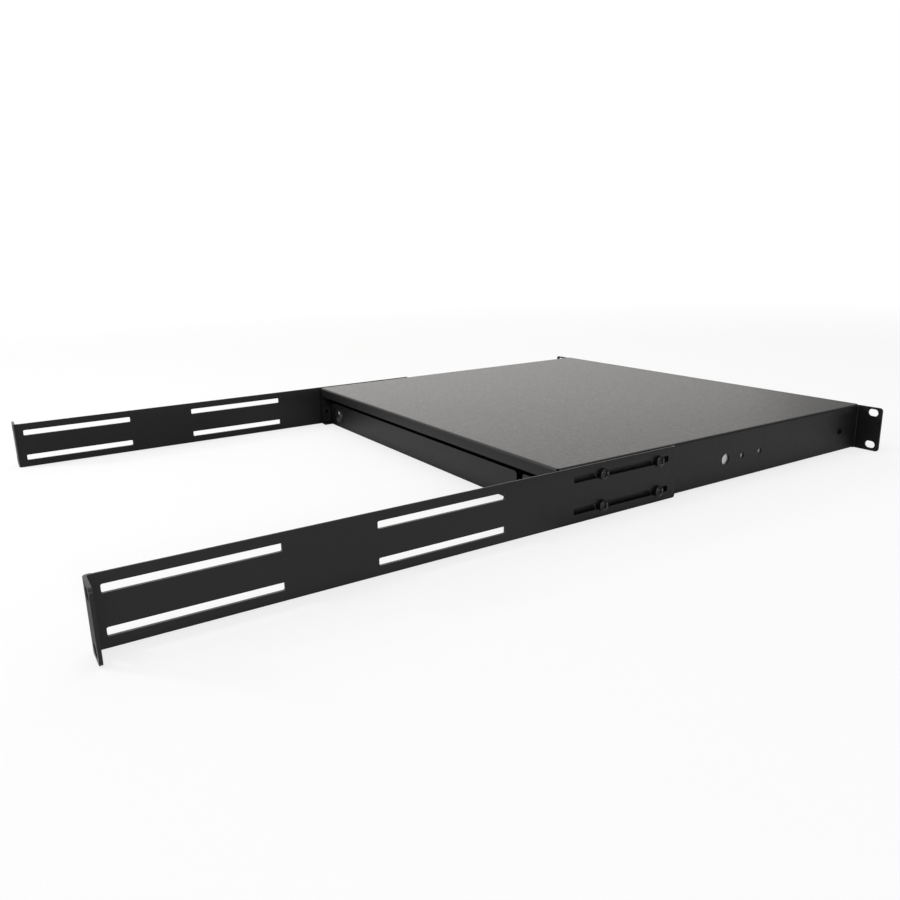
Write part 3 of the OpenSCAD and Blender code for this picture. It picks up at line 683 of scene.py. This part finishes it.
@dataclass
class Housing(Assembly):
    """The folded housing with the panel across its rear and the domed plug in it.

    Attributes:
        edge_mm: Round on the edges of the sheet.
        dome_mm: Height of the plug's dome over its rim.
        dome_bow: How full the dome is: 0 for flat, 1 for upright where it meets the rim.
        dimple_mm: Depth of the gate's dimple in the middle of the dome.
        dimple_r_mm: Radius at which the dimple has all but run out.
        rim_mm: Height of the plug's rim.
        rim_in_mm: How far the dome's foot lies inside the rim.
        rim_drop_mm: How far the rim's upper edge lies under the level of the dome's base.
        rim_round_mm: Round on the rim's edges.
        lift_mm: Gap that keeps the rim's seat off the panel.
        shank_mm: Diameter of the hole that the plug's shank fills.
        shank_gap_mm: Room round the shank in that hole.
        barb_mm: How far the shank's barb stands out.
        barb_from_mm: Where the barb starts, is widest and ends, from the shank's end.
        tip_mm: Chamfer of the shank's end.
        dome_rings: Points of the profile on the dome.
        around: Points round the plug.
    """

    edge_mm: float = 0.3
    dome_mm: float = 3.2
    dome_bow: float = 0.98
    dimple_mm: float = 0.25
    dimple_r_mm: float = 1.1
    rim_mm: float = 0.6
    rim_in_mm: float = 0.35
    rim_drop_mm: float = 0.1
    rim_round_mm: float = 0.12
    lift_mm: float = 0.01
    shank_mm: float = 9.0
    shank_gap_mm: float = 0.1
    barb_mm: float = 0.5
    barb_from_mm: tuple[float, float, float] = (1.6, 1.3, 0.3)
    tip_mm: float = 0.4
    dome_rings: int = 25
    around: int = 64

    def build(self) -> None:
        """Builds the sheet pieces and the plug."""
        self.rounded_copy("housing_shell", self.edge_mm)
        self.rounded_copy("rear_panel", self.edge_mm)
        self.build_plug()

    def build_plug(self) -> None:
        """Turns the plug about its own axis, which runs along Y.

        The profile goes from the middle of the dome over the rim's round edge to the shank, its
        barb and its end. The dome falls as an ellipse does: by its height times one less the
        root of one less the square of the share of its radius. The dimple is a bell curve.
        """
        low, high = (np.array(corner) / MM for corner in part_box("hole_plug"))
        middle = (low + high) / 2.0
        rim_r = (high[0] - low[0]) / 2.0
        top, end = high[1], low[1]
        face = top - self.dome_mm - self.rim_mm
        crown_r = rim_r - self.rim_in_mm
        share = np.linspace(0.0, 1.0, self.dome_rings)
        dimple = self.dimple_mm * np.exp(-((share * crown_r / self.dimple_r_mm) ** 2))
        fall = self.dome_mm * (1.0 - np.sqrt(1.0 - self.dome_bow * share**2))
        crown = np.stack([crown_r * share, top - dimple - fall], 1)
        shank_r = self.shank_mm / 2.0 - self.shank_gap_mm
        barb, widest, barb_end = self.barb_from_mm
        rest = np.array(
            [
                [rim_r - self.rim_round_mm, face + self.rim_mm - self.rim_drop_mm],
                [rim_r, face + self.rim_mm / 2.0],
                [rim_r, face + self.rim_round_mm],
                [rim_r - self.rim_round_mm, face + self.lift_mm],
                [shank_r, face + self.lift_mm],
                [shank_r, end + barb],
                [shank_r + self.barb_mm, end + widest],
                [shank_r, end + barb_end],
                [shank_r - self.tip_mm, end],
                [0.0, end],
            ]
        )
        profile = np.concatenate([crown, rest])
        flat_x, flat_z = turned(profile, self.around)
        grid = np.empty((1, *flat_x.shape, 3))
        grid[0, :, :, 0] = middle[0] + flat_x
        grid[0, :, :, 1] = profile[:, 1:]
        grid[0, :, :, 2] = middle[2] + flat_z
        self.settle(grid_object("domed_plug", grid * MM, TURNED_CREASE), "hole_plug")


@dataclass
class RearBracket(Assembly):
    """One slotted rear bracket with its four pan-head screws.

    Attributes:
        side: Which side of the housing it is on.
        edge_mm: Round on the plate's edges.
        top_mm: Round on the long edges of its top, left by the shear.
        rows_mm: Height of the screws over and under the middle.
        shank_mm: Diameter of a screw's shank.
        tip_mm: Chamfer of its tip.
        head_side_mm: Height of a head's upright side.
        shoulder_mm: Radius of the round between a head's side and its dome.
        shoulder_from: Angle at which the dome meets that round, in degrees.
        under_mm: Round under the head's edge.
        lift_mm: Gap that keeps the head's seat off the washer.
        recess_mm: Reach of the cross recess.
        recess_w_mm: Width of its arms at the top.
        recess_d_mm: Depth of the recess.
        recess_wall_mm: Width of its sloping wall.
        recess_rise: Share of the depth by which its floor rises to the arms' ends.
        lean: How far the first screw's cross is turned, in degrees.
        lean_step: How much further each next one is, in degrees.
        dome_rings: Points of a screw's profile on the dome.
        shoulder_points: Points of it on the shoulder.
        around: Points round a screw.
    """

    side: Side = Side.LEFT
    edge_mm: float = 0.22
    top_mm: float = 0.92
    rows_mm: float = 12.5
    shank_mm: float = 5.0
    tip_mm: float = 0.6
    head_side_mm: float = 1.6
    shoulder_mm: float = 0.45
    shoulder_from: float = 78.0
    under_mm: float = 0.15
    lift_mm: float = 0.01
    recess_mm: float = 2.1
    recess_w_mm: float = 1.3
    recess_d_mm: float = 1.5
    recess_wall_mm: float = 0.3
    recess_rise: float = 0.45
    lean: float = 17.0
    lean_step: float = 31.0
    dome_rings: int = 30
    shoulder_points: int = 7
    around: int = 96

    def build(self) -> None:
        """Builds the plate and the screws."""
        self.rounded_copy(f"{self.side.word}_rear_bracket", self.edge_mm, self.top_mm)
        self.build_screws()

    def recess(self, across: np.ndarray, along: np.ndarray) -> np.ndarray:
        """Works out the depth of the cross recess.

        The distance to the cross is the smaller of the distances to its two bars. Inside, the
        wall eases down to the full depth, and the floor rises towards the ends of the arms.

        Args:
            across: First coordinate on the head, in millimetres.
            along: Second coordinate on the head, in millimetres.

        Returns:
            The depth at each point, in millimetres.
        """
        half = self.recess_w_mm / 2.0
        first = np.maximum(np.abs(across) - self.recess_mm, np.abs(along) - half)
        second = np.maximum(np.abs(along) - self.recess_mm, np.abs(across) - half)
        wall = soften(-np.minimum(first, second) / self.recess_wall_mm)
        reach = np.clip(np.hypot(across, along) / self.recess_mm, 0.0, 1.0)
        return self.recess_d_mm * wall * (1.0 - self.recess_rise * reach)

    def build_screws(self) -> None:
        """Turns the four screws about axes along X, and sinks a cross into each head.

        The profile goes from the middle of the domed head over its edge, back under the head and
        along the shank to its chamfered tip. The dome falls with the square of the radius, and
        the recess lowers its points.
        """
        node = f"{self.side.word}_bracket_screws"
        low, high = (np.array(corner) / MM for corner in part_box(node))
        tip, top = sorted((abs(low[0]), abs(high[0])))
        head_r = (high[2] - low[2]) / 2.0 - self.rows_mm
        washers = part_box(f"{self.side.word}_bracket_washers")
        seat = max(abs(corner[0]) for corner in washers) / MM
        rise = top - seat - self.head_side_mm
        shoulder = self.shoulder_mm
        radius = np.linspace(0.0, head_r - shoulder, self.dome_rings)
        dome = np.stack([radius, top - rise * (radius / head_r) ** 2], 1)
        centre = (head_r - shoulder, dome[-1, 1] - shoulder)
        edge = arc(centre, shoulder, self.shoulder_from, 0.0, self.shoulder_points)
        shank_r = self.shank_mm / 2.0
        rest = np.array(
            [
                [head_r, seat + self.under_mm],
                [head_r - self.under_mm, seat + self.lift_mm],
                [shank_r, seat + self.lift_mm],
                [shank_r, tip + self.tip_mm],
                [shank_r - self.tip_mm, tip],
                [0.0, tip],
            ]
        )
        profile = np.concatenate([dome, edge, rest])
        flat_y, flat_z = turned(profile, self.around)
        out = np.repeat(profile[:, 1:], flat_y.shape[1], axis=1)
        out[: len(dome)] -= self.recess(flat_y[: len(dome)], flat_z[: len(dome)])
        ys = (low[1] + head_r, high[1] - head_r)
        spots = [(y, z) for y in ys for z in (-self.rows_mm, self.rows_mm)]
        grids = np.empty((len(spots), *out.shape, 3))
        for number, (y, z) in enumerate(spots):
            lean = np.radians(self.lean + self.lean_step * number)
            grids[number, :, :, 0] = self.side.value * out
            grids[number, :, :, 1] = y + flat_y * np.cos(lean) - flat_z * np.sin(lean)
            grids[number, :, :, 2] = z + flat_y * np.sin(lean) + flat_z * np.cos(lean)
        screws = grid_object(f"{self.side.word}_pan_head_screws", grids * MM, TURNED_CREASE)
        self.settle(screws, node)


@dataclass
class Drawer(Assembly):
    """The tray, the front panel and the two bow handles.

    Attributes:
        tray_edge_mm: Round on the tray's edges.
        panel_edge_mm: Round on the front panel's edges.
        pitch_mm: Distance between the two legs of a handle.
        bar_mm: Diameter of the bar.
        bend_mm: Bend radius of the bar's middle line.
        foot_mm: Height of the round foot on each leg.
        foot_round_mm: Round on the foot's upper edge.
        hollow_mm: Radius of the hollow between foot and leg.
        round_points: Points along the foot's round and along the hollow.
        leg_points: Points along the straight of a leg.
        bend_points: Points along a bend.
        grip_points: Points along half of the grip.
        around: Points round the bar.
    """

    tray_edge_mm: float = 0.25
    panel_edge_mm: float = 0.4
    pitch_mm: float = 64.0
    bar_mm: float = 8.0
    bend_mm: float = 9.0
    foot_mm: float = 1.5
    foot_round_mm: float = 0.35
    hollow_mm: float = 1.0
    round_points: tuple[int, int] = (5, 6)
    leg_points: int = 8
    bend_points: int = 17
    grip_points: int = 9
    around: int = 32

    def build(self) -> None:
        """Builds the sheet pieces and the handles."""
        self.rounded_copy("drawer_tray", self.tray_edge_mm)
        self.rounded_copy("front_panel", self.panel_edge_mm)
        for side in Side:
            self.build_handle(side)

    def build_handle(self, side: Side) -> None:
        """Carries a circle along the bow, from one foot to the other.

        The path is a leg, a quarter turn, the grip, a quarter turn and a leg, all level. Each
        point is the path's plus the radius times the turn's cosine, laid across the path, and
        times its sine, straight up. The radius grows at the feet through a hollow and a round.

        Args:
            side: Which handle.
        """
        node = f"{side.word}_handle"
        low, high = (np.array(corner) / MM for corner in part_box(node))
        middle = (low[0] + high[0]) / 2.0
        foot_r = (high[2] - low[2]) / 2.0
        bar_r = self.bar_mm / 2.0
        back, front = high[1], low[1] + bar_r
        left, right = middle - self.pitch_mm / 2.0, middle + self.pitch_mm / 2.0
        bend, corner, hollow = self.bend_mm, self.foot_round_mm, self.hollow_mm
        outer, inner = self.round_points
        foot = np.concatenate(
            [
                [[0.0, 0.0], [foot_r - corner, 0.0]],
                arc((foot_r - corner, self.foot_mm - corner), corner, 0.0, 90.0, outer),
                arc((bar_r + hollow, self.foot_mm + hollow), hollow, 270.0, 180.0, inner),
            ]
        )
        shaft = np.linspace(foot[-1, 1] + hollow / 2.0, back - front - bend, self.leg_points)
        leg = np.concatenate([foot, np.stack([np.full(len(shaft), bar_r), shaft], 1)])
        down = np.stack([np.full(len(leg), left), back - leg[:, 1]], 1)
        turn_in = arc((left + bend, front + bend), bend, 180.0, 270.0, self.bend_points)[1:]
        grip = np.linspace((left + bend, front), (middle, front), self.grip_points)[1:]
        half = np.concatenate([down, turn_in, grip])
        bar = np.full(len(turn_in) + len(grip), bar_r)
        half_radii = np.concatenate([leg[:, 0], bar])
        bend_angle = np.linspace(0.0, 90.0, self.bend_points)[1:]
        ahead = np.concatenate([np.zeros(len(down)), bend_angle, np.full(len(grip), 90.0)])
        mirror = half[-2::-1] * [-1.0, 1.0] + [left + right, 0.0]
        path = np.concatenate([half, mirror])
        radii = np.concatenate([half_radii, half_radii[-2::-1]])
        heading = np.radians(np.concatenate([ahead, 180.0 - ahead[-2::-1]]))
        turn = np.linspace(0.0, 2.0 * np.pi, self.around, endpoint=False)
        grid = np.empty((1, len(path), len(turn), 3))
        out = radii[:, None] * np.cos(turn)
        grid[0, :, :, 0] = path[:, :1] + out * np.cos(heading)[:, None]
        grid[0, :, :, 1] = path[:, 1:] + out * np.sin(heading)[:, None]
        grid[0, :, :, 2] = radii[:, None] * np.sin(turn)
        self.settle(grid_object(f"{side.word}_bow_handle", grid * MM, BAR_CREASE), node)


@dataclass(frozen=True)
class Lamp:
    """A rectangular softbox that faces the housing.

    Attributes:
        name: Name of the lamp.
        place: Its place, in metres.
        size: Its width and height, in metres.
        power: Its power, in watts.
        colour: Its light, as sRGB hex.
        aim: Where it looks, in metres.
    """

    name: str
    place: tuple[float, float, float]
    size: tuple[float, float]
    power: float
    colour: str = WHITE
    aim: tuple[float, float, float] = (0.0, 0.25, 0.0)

    def build(self) -> None:
        """Adds the lamp, turned to the middle of the housing."""
        data = bpy.data.lights.new(self.name, "AREA")
        data.shape = "RECTANGLE"
        data.size, data.size_y = self.size
        data.energy = self.power
        data.color = srgb(self.colour)[:3]
        ahead = Vector(self.aim) - Vector(self.place)
        turn = ahead.to_track_quat("-Z", "Y").to_matrix().to_4x4()
        lamp = bpy.data.objects.new(self.name, data)
        lamp.matrix_world = Matrix.Translation(self.place) @ turn
        bpy.context.scene.collection.objects.link(lamp)


@dataclass
class Studio:
    """A pale floor, a white surround, soft lamps and the camera at the photograph's place.

    Attributes:
        floor_z: Height of the floor, just under the housing's foot.
        floor_size: Width of the floor.
        floor_colour: The floor's own colour, as sRGB hex.
        floor_glow: Share of the floor's white that the view sees without shadow, near the
            housing.
        glow_full: Where that share starts to grow and is full, from the origin, in metres.
        clear_beside: Where reflections show the floor's shadow beside the housing end, from
            its middle, in metres.
        clear_behind: The same behind the housing, along Y.
        fade_front: Where the floor's white in reflections starts and is full, along Y, in
            metres.
        shade_inside: Where the shade between the brackets starts to end and ends, from the
            middle, in metres.
        shade_behind: Where that shade starts and is full, along Y, in metres.
        shade_depth: Share of light that it takes from reflections.
        corner_from: Where the shade of the far corner starts and is full, along X, in metres.
        corner_depth: Share of light that it takes from reflections.
        surround: Strength of the surround as a light.
        front_dim: Strength of the surround in reflections, right in front.
        front_turn: The Y of a direction where that strength starts to grow and is full.
        left_dim: Strength of the surround in reflections, in the front corner on the left.
        left_turn: The share of left_way in a direction where it starts to grow and is full.
        left_way: The direction away from that corner.
        camera_place: Place of the camera, in metres.
        yaw: Camera's turn from looking to the front, towards +X, in degrees.
        pitch: How far the camera looks down, in degrees.
        roll: Camera's roll, in degrees.
        lens: Focal length, in millimetres.
        sensor: Width of the camera's sensor, in millimetres.
        clip: Nearest and furthest distance that the camera sees, in metres.
        lamps: The lamps.
    """

    floor_z: float = -0.0221
    floor_size: float = 60.0
    floor_colour: str = "#f0f0f0"
    floor_glow: float = 0.72
    glow_full: tuple[float, float] = (0.7, 1.8)
    clear_beside: tuple[float, float] = (0.222, 0.26)
    clear_behind: tuple[float, float] = (0.38, 0.395)
    fade_front: tuple[float, float] = (-0.2, 0.45)
    shade_inside: tuple[float, float] = (0.21, 0.23)
    shade_behind: tuple[float, float] = (0.44, 0.5)
    shade_depth: float = 0.55
    corner_from: tuple[float, float] = (0.165, 0.225)
    corner_depth: float = 0.85
    surround: float = 0.42
    front_dim: float = 0.45
    front_turn: tuple[float, float] = (-1.0, -0.4)
    left_dim: float = 0.3
    left_turn: tuple[float, float] = (-1.0, -0.65)
    left_way: tuple[float, float, float] = (0.45, 0.89, 0.0)
    camera_place: tuple[float, float, float] = (-0.64147, 0.74596, 0.18379)
    yaw: float = 57.764
    pitch: float = 14.756
    roll: float = -1.279
    lens: float = 31.30
    sensor: float = 36.0
    clip: tuple[float, float] = (0.01, 200.0)
    lamps: tuple[Lamp, ...] = (
        Lamp("top_softbox", (0.3, 0.6, 2.2), (2.4, 2.4), 26.0),
        Lamp("back_softbox", (2.8, -1.2, 1.2), (4.2, 2.2), 33.0, "#fffaf4"),
        Lamp("side_strobe", (-2.4, 0.78, 0.7), (0.2, 0.2), 16.0),
        Lamp("rear_strobe", (0.55, 1.6, 1.75), (0.3, 0.3), 2.2),
        Lamp("kicker", (0.6, 1.45, 0.44), (0.12, 0.12), 5.0),
    )

    def build(self) -> None:
        """Builds the floor, the surround, the lamps and the camera."""
        self.build_floor()
        self.build_surround()
        for lamp in self.lamps:
            lamp.build()
        self.build_camera()

    def build_floor(self) -> None:
        """Makes the floor: one large flat sheet whose white keeps a soft shadow."""
        half = self.floor_size / 2.0
        corners = [(-half, -half), (half, -half), (half, half), (-half, half)]
        mesh = bpy.data.meshes.new("studio_floor")
        mesh.from_pydata([(x, y, self.floor_z) for x, y in corners], [], [(0, 1, 2, 3)])
        floor = bpy.data.objects.new("studio_floor", mesh)
        bpy.context.scene.collection.objects.link(floor)
        material = bpy.data.materials.new("white_studio_floor")
        material.use_nodes = True
        tree = material.node_tree
        tree.nodes.clear()
        path = add_node(tree, "ShaderNodeLightPath").outputs
        place = add_node(tree, "ShaderNodeTexCoord").outputs["Object"]
        sheen, shade = (
            add_node(
                tree,
                "ShaderNodeMath",
                {"operation": "MULTIPLY"},
                {0: path["Is Glossy Ray"], 1: mask},
            ).outputs[0]
            for mask in self.floor_masks(tree, place)
        )
        seen = add_node(
            tree,
            "ShaderNodeMath",
            {"operation": "MAXIMUM"},
            {0: path["Is Camera Ray"], 1: sheen},
        )
        away = add_node(tree, "ShaderNodeVectorMath", {"operation": "LENGTH"}, {0: place})
        white = add_node(
            tree,
            "ShaderNodeMapRange",
            inputs={
                "Value": away.outputs["Value"],
                "From Min": self.glow_full[0],
                "From Max": self.glow_full[1],
                "To Min": self.floor_glow,
                "To Max": 1.0,
            },
        )
        matt = add_node(tree, "ShaderNodeBsdfDiffuse", inputs={"Color": srgb(self.floor_colour)})
        glow = add_node(tree, "ShaderNodeEmission", inputs={"Color": srgb(WHITE)})
        share = add_node(
            tree,
            "ShaderNodeMath",
            {"operation": "MULTIPLY"},
            {0: seen.outputs[0], 1: white.outputs["Result"]},
        )
        mixed = add_node(
            tree,
            "ShaderNodeMixShader",
            inputs={0: share.outputs[0], 1: matt.outputs[0], 2: glow.outputs[0]},
        )
        black = add_node(tree, "ShaderNodeEmission", inputs={"Strength": 0.0})
        shaded = add_node(
            tree,
            "ShaderNodeMixShader",
            inputs={0: shade, 1: mixed.outputs[0], 2: black.outputs[0]},
        )
        add_node(tree, "ShaderNodeOutputMaterial", inputs={"Surface": shaded.outputs[0]})
        mesh.materials.append(material)

    def floor_masks(
        self, tree: bpy.types.NodeTree, place: bpy.types.NodeSocket
    ) -> tuple[bpy.types.NodeSocket, bpy.types.NodeSocket]:
        """Adds how white and how shaded the floor looks in reflections.

        It is white behind the housing and beside it, fades towards the front, and stays in
        shadow under the housing. Between the brackets it is shaded, away from the housing or
        towards the far bracket, whichever takes more.

        Args:
            tree: The floor's tree.
            place: Object coordinates.

        Returns:
            The share of white and the share of light that the shade takes, from 0 to 1.
        """
        axes = add_node(tree, "ShaderNodeSeparateXYZ", inputs={0: place}).outputs
        beside = add_node(tree, "ShaderNodeMath", {"operation": "ABSOLUTE"}, {0: axes["X"]})
        aside, behind, along, inside, rear, corner = (
            add_node(
                tree,
                "ShaderNodeMapRange",
                inputs={
                    "Value": value,
                    "From Min": low,
                    "From Max": high,
                    "To Min": first,
                    "To Max": last,
                },
            ).outputs["Result"]
            for value, (low, high), first, last in (
                (beside.outputs[0], self.clear_beside, 0.0, 1.0),
                (axes["Y"], self.clear_behind, 0.0, 1.0),
                (axes["Y"], self.fade_front, 0.0, 1.0),
                (beside.outputs[0], self.shade_inside, 1.0, 0.0),
                (axes["Y"], self.shade_behind, 0.0, self.shade_depth),
                (axes["X"], self.corner_from, 0.0, self.corner_depth),
            )
        )
        shares = []
        for one, other, mask in ((aside, behind, along), (rear, corner, inside)):
            more = add_node(tree, "ShaderNodeMath", {"operation": "MAXIMUM"}, {0: one, 1: other})
            share = add_node(
                tree, "ShaderNodeMath", {"operation": "MULTIPLY"}, {0: more.outputs[0], 1: mask}
            )
            shares.append(share.outputs[0])
        return shares[0], shares[1]

    def build_surround(self) -> None:
        """Makes the surround: white to the view, dimmer as a light, darker towards the front.

        Reflections fade from white behind the housing to grey in front of it, and most in the
        front corner on the left, as in a room with its softboxes on the other sides.
        """
        world = bpy.data.worlds.new("studio_surround")
        bpy.context.scene.world = world
        world.use_nodes = True
        tree = world.node_tree
        tree.nodes.clear()
        path = add_node(tree, "ShaderNodeLightPath").outputs
        way = add_node(tree, "ShaderNodeTexCoord").outputs["Generated"]
        toward = add_node(tree, "ShaderNodeSeparateXYZ", inputs={0: way})
        across = add_node(
            tree, "ShaderNodeVectorMath", {"operation": "DOT_PRODUCT"}, {0: way, 1: self.left_way}
        )
        front, left = (
            add_node(
                tree,
                "ShaderNodeMapRange",
                {"interpolation_type": "SMOOTHSTEP"},
                {"Value": value, "From Min": low, "From Max": high, "To Min": least, "To Max": 1.0},
            ).outputs["Result"]
            for value, (low, high), least in (
                (toward.outputs["Y"], self.front_turn, self.front_dim),
                (across.outputs["Value"], self.left_turn, self.left_dim),
            )
        )
        level = add_node(tree, "ShaderNodeMath", {"operation": "MULTIPLY"}, {0: front, 1: left})
        light, sheen, white = (
            add_node(
                tree, "ShaderNodeBackground", inputs={"Color": srgb(WHITE), "Strength": strength}
            ).outputs[0]
            for strength in (self.surround, level.outputs[0], 1.0)
        )
        bounced = add_node(
            tree,
            "ShaderNodeMath",
            {"operation": "MAXIMUM"},
            {0: path["Is Glossy Ray"], 1: path["Is Transmission Ray"]},
        )
        mirrored = add_node(
            tree,
            "ShaderNodeMixShader",
            inputs={0: bounced.outputs[0], 1: light, 2: sheen},
        )
        mixed = add_node(
            tree,
            "ShaderNodeMixShader",
            inputs={0: path["Is Camera Ray"], 1: mirrored.outputs[0], 2: white},
        )
        add_node(tree, "ShaderNodeOutputWorld", inputs={"Surface": mixed.outputs[0]})

    def build_camera(self) -> None:
        """Places the camera by its yaw, pitch and roll and sets plain view settings."""
        yaw, pitch, roll = (math.radians(v) for v in (self.yaw, self.pitch, self.roll))
        ahead = Vector(
            (math.sin(yaw) * math.cos(pitch), -math.cos(yaw) * math.cos(pitch), -math.sin(pitch))
        )
        level = ahead.cross(Vector((0.0, 0.0, 1.0))).normalized()
        above = level.cross(ahead)
        right = level * math.cos(roll) + above * math.sin(roll)
        up = above * math.cos(roll) - level * math.sin(roll)
        turn = Matrix((right, up, -ahead)).transposed().to_4x4()
        data = bpy.data.cameras.new("photo_camera")
        data.sensor_width = self.sensor
        data.lens = self.lens
        data.clip_start, data.clip_end = self.clip
        camera = bpy.data.objects.new("photo_camera", data)
        camera.matrix_world = Matrix.Translation(self.camera_place) @ turn
        bpy.context.scene.collection.objects.link(camera)
        bpy.context.scene.camera = camera
        bpy.context.scene.view_settings.view_transform = "Standard"


def main() -> None:
    """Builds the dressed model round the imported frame."""
    logging.basicConfig(level=logging.INFO, format="%(message)s")
    for spare in list(bpy.data.objects):
        bpy.data.objects.remove(spare)
    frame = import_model()
    wardrobe = Wardrobe(frame["record"])
    wardrobe.dress_nodes(frame["nodes"])
    Housing(frame, wardrobe).build()
    for side in Side:
        RearBracket(frame, wardrobe, side=side).build()
    Drawer(frame, wardrobe).build()
    Studio().build()
    bpy.context.view_layer.update()


if __name__ == "__main__":
    main()
